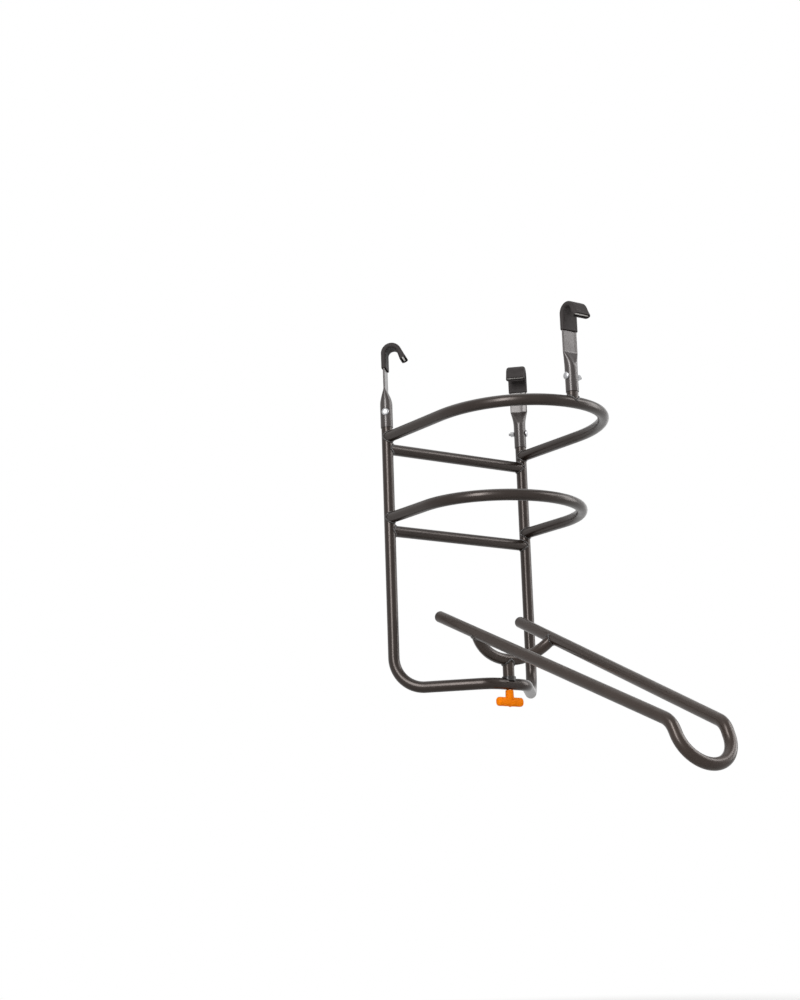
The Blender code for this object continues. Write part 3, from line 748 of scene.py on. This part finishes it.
def makeHook(label, leg, values=hookValues):
    # bore of the arm, its lip, the round arm, the taper pressed in by 1 - cos of a quarter turn, the strip
    # and its rounded tip; the dent and the crease sink the faces by depth · exp(-(v / width)²), the first
    # over the taper's end and the second up the strip
    count, lip, thin = values["rows"], values["lipRound"], values["stripHalfThickness"]
    arm, bore = values["armRadius"], values["armBore"]
    lipFoot = legLevel - values["armBottomDepth"] + lip
    taperFoot = legLevel - values["taperBottomDepth"]
    taperRun = values["taperBottomDepth"] - values["taperTopDepth"]
    lipTurn = np.linspace(-math.pi / 2, math.pi / 2, count["lip"])
    taper = np.linspace(0, 1, count["taper"])[1:]
    eased = 1 - np.cos(math.pi / 2 * taper)
    rounding = thin * values["tipRoundShare"]
    strip = legToTip(taperFoot + taperRun, stripEnd - rounding, count)[1:]
    fade = np.linspace(0, math.pi / 2, count["round"])[1:]
    boreTop = legLevel - values["boreTopDepth"]
    distance, thickness, flat, edge = joined(
        (boreTop, bore * values["boreCapShare"], 0.0, 0.0),
        (boreTop, bore, 0.0, 0.0),
        (lipFoot, bore, 0.0, 0.0),
        (lipFoot - lip * np.cos(lipTurn), (arm + bore) / 2 + (arm - bore) / 2 * np.sin(lipTurn), 0.0,
         values["lipWear"]),
        (taperFoot, arm, 0.0, 0.0),
        (taperFoot + taper * taperRun, arm + (thin - arm) * eased, stripFlat * eased, 0.0),
        (strip, thin, stripFlat, 0.0),
        (stripEnd - rounding + rounding * np.sin(fade), thin - rounding * (1 - np.cos(fade)), stripFlat, 0.0))
    section = (leg, distance, thickness, flat, values["columns"])
    rows, roundness, _ = hookRows(*section)
    height = np.clip((distance - taperFoot) / taperRun, 0, 1)[:, None]  # 0 to 1 up the taper
    v = (rows - leg["foot"]) @ np.cross(up, leg["toward"])
    dentWidth = values["dentFootWidth"] + values["dentSpread"] * height
    dent = values["dent"] * np.sin(math.pi * height ** values["dentSkew"]) * np.exp(-(v / dentWidth) ** 2)
    upStrip = height ** values["creaseStart"] * np.clip(-distance / values["creaseFade"], 0, 1)[:, None]
    fromCrease = (v - values["creasePlace"]) / values["creaseHalfWidth"]
    sink = dent + values["crease"] * upStrip * np.exp(-fromCrease ** 2)
    rows = sunkRows(rows, sink, *section)
    edge = edge[:, None] + (flat / stripFlat)[:, None] * roundness ** 2 * values["edgeWear"]
    addPiece("hook" + label.capitalize(), [closedShell(rows, edge=edge)], finishes["armCoat"], "frame",
             ["hook_" + label])


def makeSleeve(label, leg, values=sleeveValues):
    # a flat pipe whose hole is as wide as the strip, with half round lips at both ends; past the bend it
    # opens by a power of the share into the thicker mouth, and its flats get shorter by as much
    count, half = values["rows"], values["wall"] / 2
    start = legLevel - values["bottomDepth"]
    end = stripEnd + values["lipLength"]
    run = legToTip(start + half, end - half, count)
    lip = np.linspace(math.pi / 2, -math.pi / 2, count["lip"])[1:-1]
    distance, across, lipEdge = joined(  # across is 1 on the outer skin and -1 on the inner one
        (run, 1.0, 0.0), (end - half + half * np.cos(lip), np.sin(lip), values["lipWear"]),
        (run[::-1], -1.0, 0.0), (start + half - half * np.cos(lip), -np.sin(lip), values["lipWear"]))
    opened = np.clip((distance - bendLength) / (end - bendLength), 0, 1) ** values["mouthOpening"]
    middle = (values["halfThickness"] - half
              + (values["mouthHalfThickness"] - values["halfThickness"]) * opened)
    thickness = middle + half * across
    flat = hookValues["stripHalfWidth"] + values["gap"] - (middle - half)
    section = (leg, distance, thickness, flat, values["columns"])
    rows, roundness, u = hookRows(*section)
    # small folds: the outer skin sinks in waves on the inside of the bend
    bendShare = np.clip(distance / bendLength, 0, 1)
    inside = np.clip(u / (middle + half)[:, None], 0, 1) ** 2
    drift = values["foldDriftShare"] * np.sin(distance / values["foldDrift"])
    waves = 0.5 + 0.5 * np.sin(distance / values["foldSpacing"] + drift)
    onBend = np.sin(math.pi * bendShare) ** 2 * waves * (across == 1)
    sink = values["folds"] * onBend[:, None] * inside
    rows = sunkRows(rows, sink, *section)
    edge = np.maximum(roundness ** 3 * values["edgeWear"], lipEdge[:, None])
    addPiece("sleeve" + label.capitalize(), [closedShell(rows, wrapRows=True, edge=edge)],
             finishes["sleeveVinyl"], "frame", ["sleeve_" + label])


def makeStripEnd(label, leg, values=stripEndValues):
    # the strip's bare cut end, seen inside the sleeve's mouth: a thin slice of the strip's own section
    distance = stripEnd + values["halfLength"] * np.array([-1, 1])
    thickness = hookValues["stripHalfThickness"] - values["inset"]
    rows, _, _ = hookRows(leg, distance, thickness, stripFlat, values["columns"])
    addPiece("stripEnd" + label.capitalize(), [closedShell(rows)], finishes["cutSteel"], "frame",
             sharp=tubeValues["crispAngle"])


def makeBolt(label, leg, values=boltValues):
    # a domed head, a plain shank and a threaded tail whose radius falls in a saw wave of
    # height / pitch - turn
    base = leg["foot"] - up * values["depth"] + leg["head"] * values["seat"]
    head, brim, shank = values["headRadius"], values["headBrim"], values["radius"]
    inwards, upwards = values["brimRound"]
    dome = np.linspace(math.pi / 2, 0, values["domeRows"])[1:]
    nutSeat = -2 * values["seat"]
    tail = nutSeat - nutValues["height"] - values["tail"]
    thread = np.arange(nutSeat + values["threadStart"], tail + values["threadEnd"], -values["threadStep"])
    height, radius, depth = joined(
        (brim + (values["headHeight"] - brim) * np.sin(dome), head * np.cos(dome), 0.0),
        (upwards, head, 0.0), (0.0, head - inwards, 0.0), (0.0, shank, 0.0),
        (thread[0] + values["runOut"], shank, 0.0), (thread, shank, values["threadDepth"]),
        ([tail + values["runOut"], tail], shank - np.array(values["tailBevel"]), values["threadDepth"]))
    turn = columnAngles(values["columns"]) / fullTurn
    cut = np.abs((height[:, None] / values["threadPitch"] - turn) % 1 * 2 - 1)
    grid = aboutAxis(base, leg["head"], up, radius[:, None] - depth[:, None] * cut, height, values["columns"])
    edge = np.exp(-((radius - head) / values["wearWidth"]) ** 2)[:, None] * values["wear"]
    addPiece("bolt" + label.capitalize(), [closedShell(grid, edge=edge)], finishes["zincPlate"], "frame",
             ["bolt_" + label], sharp=values["crispAngle"])


def makeNut(label, leg, values=nutValues):
    # outer radius = the smaller of the hexagon's own radius and a chamfer cone from each face
    near = leg["foot"] - up * boltValues["depth"] - leg["head"] * boltValues["seat"]
    angles = columnAngles(values["columns"])
    sector = math.pi / 3
    hexagon = values["halfWidth"] / np.cos((angles + sector / 2) % sector - sector / 2)
    chamfer = np.linspace(0.0, values["chamferHeight"], values["rows"]["chamfer"])
    flank = np.linspace(values["flankMargin"], values["height"] - values["flankMargin"],
                        values["rows"]["flank"])
    height = np.concatenate([[0.0], chamfer, flank, values["height"] - chamfer[::-1], [values["height"]]])
    fromFace = np.minimum(height, values["height"] - height)[:, None]
    cone = values["halfWidth"] * values["chamferShare"] + fromFace * values["chamferSlope"]
    radii = np.minimum(hexagon, cone)
    bore = boltValues["radius"] + values["boreGap"]
    radii[0] = radii[-1] = bore + values["boreChamfer"]
    height = np.append(height, [values["height"] - values["boreChamfer"], values["boreChamfer"]])
    radii = np.vstack([radii, np.full((2, len(angles)), bore)])
    grid = aboutAxis(near, leg["head"], up, radii, -height, values["columns"])
    towardCorner = (radii / values["halfWidth"] - values["wearStart"]) * values["wearRise"]
    edge = np.clip(towardCorner, 0, 1) * values["wear"]
    addPiece("nut" + label.capitalize(), [closedShell(grid, wrapRows=True, edge=edge)],
             finishes["zincPlate"], "frame", ["nut_" + label], sharp=values["crispAngle"])


for label, leg in legPlaces.items():
    for make in (makeHook, makeSleeve, makeStripEnd, makeBolt, makeNut):
        make(label, leg)


# Chute, its plugs, cradle and stem
print("chute")
chuteValues = {
    "azimuth": -93.0,
    "slope": 23.1,
    "depthAtSwivel": 0.6135,
    "backLength": 0.0935,
    "frontLength": 0.5761,
    "backHalfSpacing": 0.1013,
    "frontHalfSpacing": 0.062,
    "loopHalfWidth": 0.0605,
    "loopLength": 0.0848,
    "loopDip": 66.2,
    "loopBend": 0.045,
    "loopRows": 73,
}
cradleValues = {"sag": 0.0575, "lean": 32.0, "steps": 72}
stemValues = {"footDepth": 0.7060}
plugValues = {
    "dome": 0.0095,
    "domeInset": 0.0003,
    "brim": 0.0012,
    "spigot": 0.014,
    "spigotMouth": 0.002,  # from the spigot's skin inwards
    "gap": 0.0003,
    "rounding": (0.00025, 0.00025, 0.0003, 0.0008),  # of the profile's corners, from the dome inwards
    "crispAngle": 50,
    "wear": 0.7,
    "wearReach": 0.0004,  # above the brim
    "domeRows": 18,
    "columns": 48,
}
slope = math.radians(chuteValues["slope"])
forward = turned(np.radians([chuteValues["azimuth"]]), right, back)[0]
sideways = np.cross(up, forward)
swivelFoot = frameValues["swivelSetback"] * back


def railPoint(ahead, halfSpacing, side, values=chuteValues):
    # swivelFoot + ahead · forward + side · halfSpacing · sideways, on a plane that falls by tan(slope)
    drop = values["depthAtSwivel"] + ahead * math.tan(slope)
    return swivelFoot + forward * ahead + sideways * side * halfSpacing - up * drop


def railPair(ahead, halfSpacing):
    # the same point of the left and the right rail
    return {side: railPoint(ahead, halfSpacing, side) for side in (1, -1)}


railTops = railPair(-chuteValues["backLength"], chuteValues["backHalfSpacing"])
railFeet = railPair(chuteValues["frontLength"], chuteValues["frontHalfSpacing"])


def makeChuteTube(values):
    # a rail, a bend down into the loop, the loop's half circle, and the same back up the other side
    dip = math.radians(values["loopDip"])
    lip = forward * math.cos(dip) - up * math.sin(dip)
    width = values["loopHalfWidth"]
    middle = railPoint(values["frontLength"], 0.0, 0) + lip * (values["loopLength"] - width)
    arc = middle + width * turned(np.linspace(0, math.pi, values["loopRows"]), sideways, lip)
    legs = {side: filletedPath([railTops[side], railFeet[side], arc[0 if side == 1 else -1]],
                               [values["loopBend"]], tubeValues["bendStep"]) for side in (1, -1)}
    path = np.vstack([legs[1], arc[1:-1], legs[-1][::-1]])
    reference = unit(forward + up)  # never along the tube
    addTube("chuteTube", tubeShell(path, reference), "chutePaintedLightCoat", "chute", "chute_tube")


def makePlug(label, side, values=plugValues):
    # a low dome with a small brim, and a spigot in the tube's bore
    outward = unit(railTops[side] - railFeet[side])
    radius, gap = tubeValues["radius"], values["gap"]
    bore = radius - tubeValues["wall"] - gap
    domeRadius, brimTop = radius - values["domeInset"], gap + values["brim"]
    dome = np.linspace(math.pi / 2, 0, values["domeRows"])[1:]
    crown = np.stack([domeRadius * np.cos(dome),
                      brimTop + (values["dome"] - values["brim"]) * np.sin(dome)], -1)
    foot = -values["spigot"]
    spigot = roundedLine([(domeRadius, brimTop), (radius, brimTop), (radius, gap), (bore, gap),
                          (bore, foot), (bore - values["spigotMouth"], foot)], values["rounding"])
    profile = np.vstack([crown, spigot])
    edge = np.where(profile[:, 1] < brimTop + values["wearReach"], values["wear"], 0.0)
    across = unit(np.cross(outward, right))
    shell = lathe(profile, railTops[side], outward, across, values["columns"], edge[:, None])
    addPiece("plug" + label.capitalize(), [shell], finishes["plugPlastic"], "chute",
             ["end_plug_" + label], sharp=values["crispAngle"])


def makeCradle(values):
    # an arc that leans forward: centre + radius · (sin a · sideways - cos a · lean), cut to both rails
    tilt = math.radians(values["lean"])
    lean = forward * math.sin(tilt) + up * math.cos(tilt)
    rise = values["sag"] / (math.cos(tilt) + math.sin(tilt) * math.tan(slope))
    railLength = chuteValues["backLength"] + chuteValues["frontLength"]
    share = (chuteValues["backLength"] + rise * math.sin(tilt)) / railLength
    halfChord = (chuteValues["backHalfSpacing"]
                 + (chuteValues["frontHalfSpacing"] - chuteValues["backHalfSpacing"]) * share)
    lowPoint = railPoint(0.0, 0.0, 0) - up * values["sag"]
    radius = (halfChord ** 2 + rise ** 2) / (2 * rise)
    swing = math.asin(halfChord / radius)
    centre = lowPoint + lean * radius
    angles = np.linspace(-swing, swing, values["steps"] + 1)
    path = centre + radius * turned(angles, -lean, sideways)
    tangents = turned(angles, sideways, lean)
    rails = {side: (railTops[side], unit(railFeet[side] - railTops[side])) for side in (1, -1)}
    addTube("cradleTube", tubeShell(path, np.cross(sideways, lean), rails[-1], rails[1], tangents),
            "chutePaintedLightCoat", "chute", "cradle")
    chuteWelds.append(weldShell(path[0], -tangents[0], *rails[-1], forward, seed=1.3))
    chuteWelds.append(weldShell(path[-1], tangents[-1], *rails[1], forward, seed=5.9))
    return lowPoint


def makeStem(lowPoint, values):
    # a straight tube up to the cradle's low point, cut to the cradle's skin
    foot = swivelFoot - up * values["footDepth"]
    addTube("stemTube", tubeShell(np.array([foot, lowPoint]), back, endCut=(lowPoint, sideways)),
            "chutePaintedLightCoat", "chute", "stem")
    chuteWelds.append(weldShell(lowPoint, up, lowPoint, sideways, back, seed=7.2))


makeChuteTube(chuteValues)
makePlug("left", -1)
makePlug("right", 1)
makeStem(makeCradle(cradleValues), stemValues)
addPiece("frameWelds", frameWelds, finishes["weldPaintedFillCoat"], "frame")
addPiece("chuteWelds", chuteWelds, finishes["weldPaintedFillCoat"], "chute")


# Swivel saddle and T knob
print("swivel and knob")
saddleValues = {
    "radius": 0.0145,
    "seatRadius": 0.01235,
    "top": 0.0152,
    "skirt": 0.0059,  # height of the skirt's foot above the bar's axis
    "skirtHeight": 0.002,
    "hole": 0.0043,
    "holeDepth": 0.004,
    "rounding": (0.0003, 0.0009),  # of the hole's mouth and of the outer edge
    "wear": 0.9,
    "undersideRows": 24,
    "columns": 96,
}
knobValues = {
    "top": -0.0122,  # from the bar's axis
    "shankLength": 0.015,
    "shankTopRadius": 0.0082,
    "shankFootRadius": 0.0088,
    "shankEdge": ((0.0002, 0.0008), (0.001, 0.0)),  # inwards and downwards
    "halfLength": 0.0326,
    "halfHeight": 0.0093,
    "halfDepth": 0.0078,
    "cornerRadius": 0.0062,
    "squareness": 2.6,  # 2 is an ellipse
    "waist": 0.01,
    "waistHalfWidth": 0.006,
    "flare": 0.0007,
    "flareHalfWidth": 0.0022,
    "flarePlaceShare": 0.75,  # of the bar's half height
    "socketRadius": 0.0043,
    "socketDepth": 0.0172,
    "nub": 0.0011,
    "nubRadii": (0.0022, 0.0026, 0.0028),
    "nubRoot": 0.002,
    "voxel": 0.00045,
    "smoothing": 18,  # rounds
    "smoothingShare": 0.5,
    "rows": {"corner": 16, "bar": 40, "shank": 14},
    "columns": 64,
    "nubColumns": 24,
}
axisFoot = swivelFoot - frameValues["barDepth"] * up


def makeSaddle(values):
    # rings from the hole out over the top and down the side; the underside's height is the bar's own
    # curve, sqrt(seat² - y²), wherever that is above the skirt's foot
    hole, top, radius = values["hole"], values["top"], values["radius"]
    outside = roundedLine([(hole, top - values["holeDepth"]), (hole, top), (radius, top),
                           (radius, values["skirt"] + values["skirtHeight"])], values["rounding"])
    under = np.linspace(radius, hole, values["undersideRows"])
    angles = columnAngles(values["columns"])
    underY = under[:, None] * np.sin(angles)
    underZ = np.maximum(np.sqrt(np.maximum(values["seatRadius"] ** 2 - underY ** 2, 0)), values["skirt"])
    heights = np.vstack([outside[:, 1:] * np.ones(len(angles)), underZ])
    grid = aboutAxis(axisFoot, up, right, np.append(outside[:, 0], under), heights, values["columns"])
    edge = np.zeros((len(grid), 1))
    edge[len(outside) // 2:len(outside)] = values["wear"]  # from the outer edge down
    addPiece("swivelSaddle", [closedShell(grid, wrapRows=True, edge=edge)], finishes["saddlePaint"],
             "frame", ["swivel_saddle"], sharp=tubeValues["crispAngle"])


def makeKnob(values):
    # bar: rings of squared circles along x whose size follows a rounded end, 1 - corner + corner · sin e;
    # shank: a lathed cone with a flared foot; nub: a small boss below. The three are joined by a remesh
    count, tall, corner = values["rows"], values["halfHeight"], values["cornerRadius"]
    base = axisFoot + up * (values["top"] - values["shankLength"] - tall)
    e = np.linspace(0, math.pi / 2, count["corner"])[1:-1]
    ends = corner * (1 - np.stack([np.cos(e), np.sin(e)]))  # along the bar, and in from its skin
    middle = np.linspace(corner - values["halfLength"], values["halfLength"] - corner, count["bar"])[1:-1]
    length, inset = joined((ends[0] - values["halfLength"], ends[1]), (middle, 0.0),
                           (values["halfLength"] - ends[0][::-1], ends[1][::-1]))
    fromWaist = (np.abs(length) - values["halfLength"] / 2) / values["waistHalfWidth"]
    waist = 1 - values["waist"] * np.exp(-fromWaist ** 2)
    b = columnAngles(values["columns"])
    power = values["squareness"]
    squared = (np.abs(np.cos(b)) ** power + np.abs(np.sin(b)) ** power) ** (-1 / power)
    depth = ((values["halfDepth"] - inset) * waist)[:, None] * squared * np.cos(b)
    height = ((tall - inset) * waist)[:, None] * squared * np.sin(b)
    grid = base + length[:, None, None] * right + depth[..., None] * back + height[..., None] * up

    rise = np.linspace(0, 1, count["shank"])
    shankHeight = tall / 2 + (values["shankLength"] + tall / 2) * rise
    fromFlare = (shankHeight - tall * values["flarePlaceShare"]) / values["flareHalfWidth"]
    shankRadius = (values["shankFootRadius"] + (values["shankTopRadius"] - values["shankFootRadius"]) * rise
                   + values["flare"] * np.exp(-fromFlare ** 2))
    top, socket = tall + values["shankLength"], values["socketRadius"]
    mouth = [(values["shankTopRadius"] - inwards, top - downwards)
             for inwards, downwards in values["shankEdge"]]
    profile = np.vstack([np.stack([shankRadius, shankHeight], -1)[:-1], mouth,
                         [(socket, top), (socket, top - values["socketDepth"])]])
    shank = lathe(profile, base, up, right, values["columns"])
    nubHeights = (-tall - values["nub"], -tall - values["nub"] / 2, -tall + values["nubRoot"])
    nub = lathe(list(zip(values["nubRadii"], nubHeights)), base, up, right, values["nubColumns"])
    knob = addPiece("tKnob", [closedShell(grid), shank, nub], finishes["knobOrange"], "knob",
                    ["t_knob"])
    remesh = knob.modifiers.new("join", "REMESH")
    remesh.mode = "VOXEL"
    remesh.voxel_size = values["voxel"]
    remesh.use_smooth_shade = True
    smooth = knob.modifiers.new("soften", "SMOOTH")
    smooth.factor = values["smoothingShare"]
    smooth.iterations = values["smoothing"]


makeSaddle(saddleValues)
makeKnob(knobValues)
for node, material in (("clamp_stud", "zincPlate"), ("stem_insert", "saddlePaint")):
    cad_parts[node].material_slots[0].material = finishes[material]


# Floor, world and lights
print("stage")
stageValues = {
    "floorHeight": -1.40,
    "floorRadius": 30.0,
    "floorColour": (0.80, 0.80, 0.79),
    "floorThickness": 0.01,
    "firstRings": (0.02, 0.1),  # the radii of the two rings at the middle
    "rings": 40,
    "columns": 96,
    "fadeStart": 0.5,
    "fadeEnd": 1.45,
    "ambient": 0.22,
}
lightValues = {
    "key": {"place": (-2.3, -1.45, 0.5), "size": (0.8, 2.2), "power": 85.0},
    "top": {"place": (0.1, 0.4, 2.0), "size": (2.2, 2.2), "power": 8.0},
    "side": {"place": (1.45, -1.75, 0.95), "size": (0.9, 0.9), "power": 16.0},
    "right": {"place": (2.5, -1.1, 0.35), "size": (1.0, 2.2), "power": 36.0},
    "back": {"place": (2.4, 1.4, 0.3), "size": (1.2, 1.6), "power": 4.0},
}
lightAim = np.array([0.0, 0.0, -0.45])


def seenDirectly(tree):
    # 1 for rays from the camera and for reflections, 0 for the light that falls on the object
    path = put(tree, "LightPath").outputs
    seen = maths(tree, "MAXIMUM", path["Is Camera Ray"], path["Is Glossy Ray"])
    return maths(tree, "MAXIMUM", seen, path["Is Transmission Ray"])


def makeFloor(values):
    # rings of a disc, pale near the object and fading to the white of the background further out
    first, second = values["firstRings"]
    radii = np.append(first, np.geomspace(second, values["floorRadius"], values["rings"]))
    ring = turned(columnAngles(values["columns"]), right, back)
    top = radii[:, None, None] * ring + values["floorHeight"] * up
    grid = np.vstack([top, top[::-1] - values["floorThickness"] * up])
    material = bpy.data.materials.new("paleFloor")
    material.use_nodes = True
    tree = material.node_tree
    tree.nodes.clear()
    distance = put(tree, "VectorMath", {0: put(tree, "TexCoord").outputs["Object"],
                                        1: (0.0, 0.0, values["floorHeight"])}, operation="DISTANCE")
    fade = spread(tree, distance.outputs["Value"], values["fadeStart"], values["fadeEnd"])
    grey = put(tree, "BsdfDiffuse", {"Color": (*values["floorColour"], 1.0)})
    white = put(tree, "Emission", {"Color": (1, 1, 1, 1), "Strength": 1.0})
    clear = put(tree, "BsdfTransparent")
    share = maths(tree, "MULTIPLY", fade, seenDirectly(tree))
    paled = put(tree, "MixShader", {0: share, 1: grey.outputs[0], 2: white.outputs[0]})
    below = maths(tree, "MULTIPLY", put(tree, "NewGeometry").outputs["Backfacing"],
                  put(tree, "LightPath").outputs["Is Camera Ray"])
    seenThrough = put(tree, "MixShader", {0: below, 1: paled.outputs[0], 2: clear.outputs[0]})
    put(tree, "OutputMaterial", {"Surface": seenThrough.outputs[0]})
    floor = addPiece("paleFloor", [closedShell(grid)], material)


def makeWorld(values):
    # white where it is seen directly, and the ambient share of that as light
    world = bpy.data.worlds.new("softRoom")
    scene.world = world
    world.use_nodes = True
    tree = world.node_tree
    tree.nodes.clear()
    strength = maths(tree, "ADD", values["ambient"],
                     maths(tree, "MULTIPLY", seenDirectly(tree), 1.0 - values["ambient"]))
    background = put(tree, "Background", {"Color": (1, 1, 1, 1), "Strength": strength})
    put(tree, "OutputWorld", {"Surface": background.outputs[0]})


def makeLight(name, values):
    # a rectangle of soft light whose back looks away from the aim
    data = bpy.data.lights.new(name, "AREA")
    data.shape = "RECTANGLE"
    data.size, data.size_y = values["size"]
    data.energy = values["power"]
    away = unit(np.array(values["place"]) - lightAim)
    across = unit(np.cross(up, away))
    placeObject(name, data, across, np.cross(away, across), away, values["place"])


makeFloor(stageValues)
makeWorld(stageValues)
for name, values in lightValues.items():
    makeLight(name + "Light", values)
scene.view_settings.view_transform = "Standard"
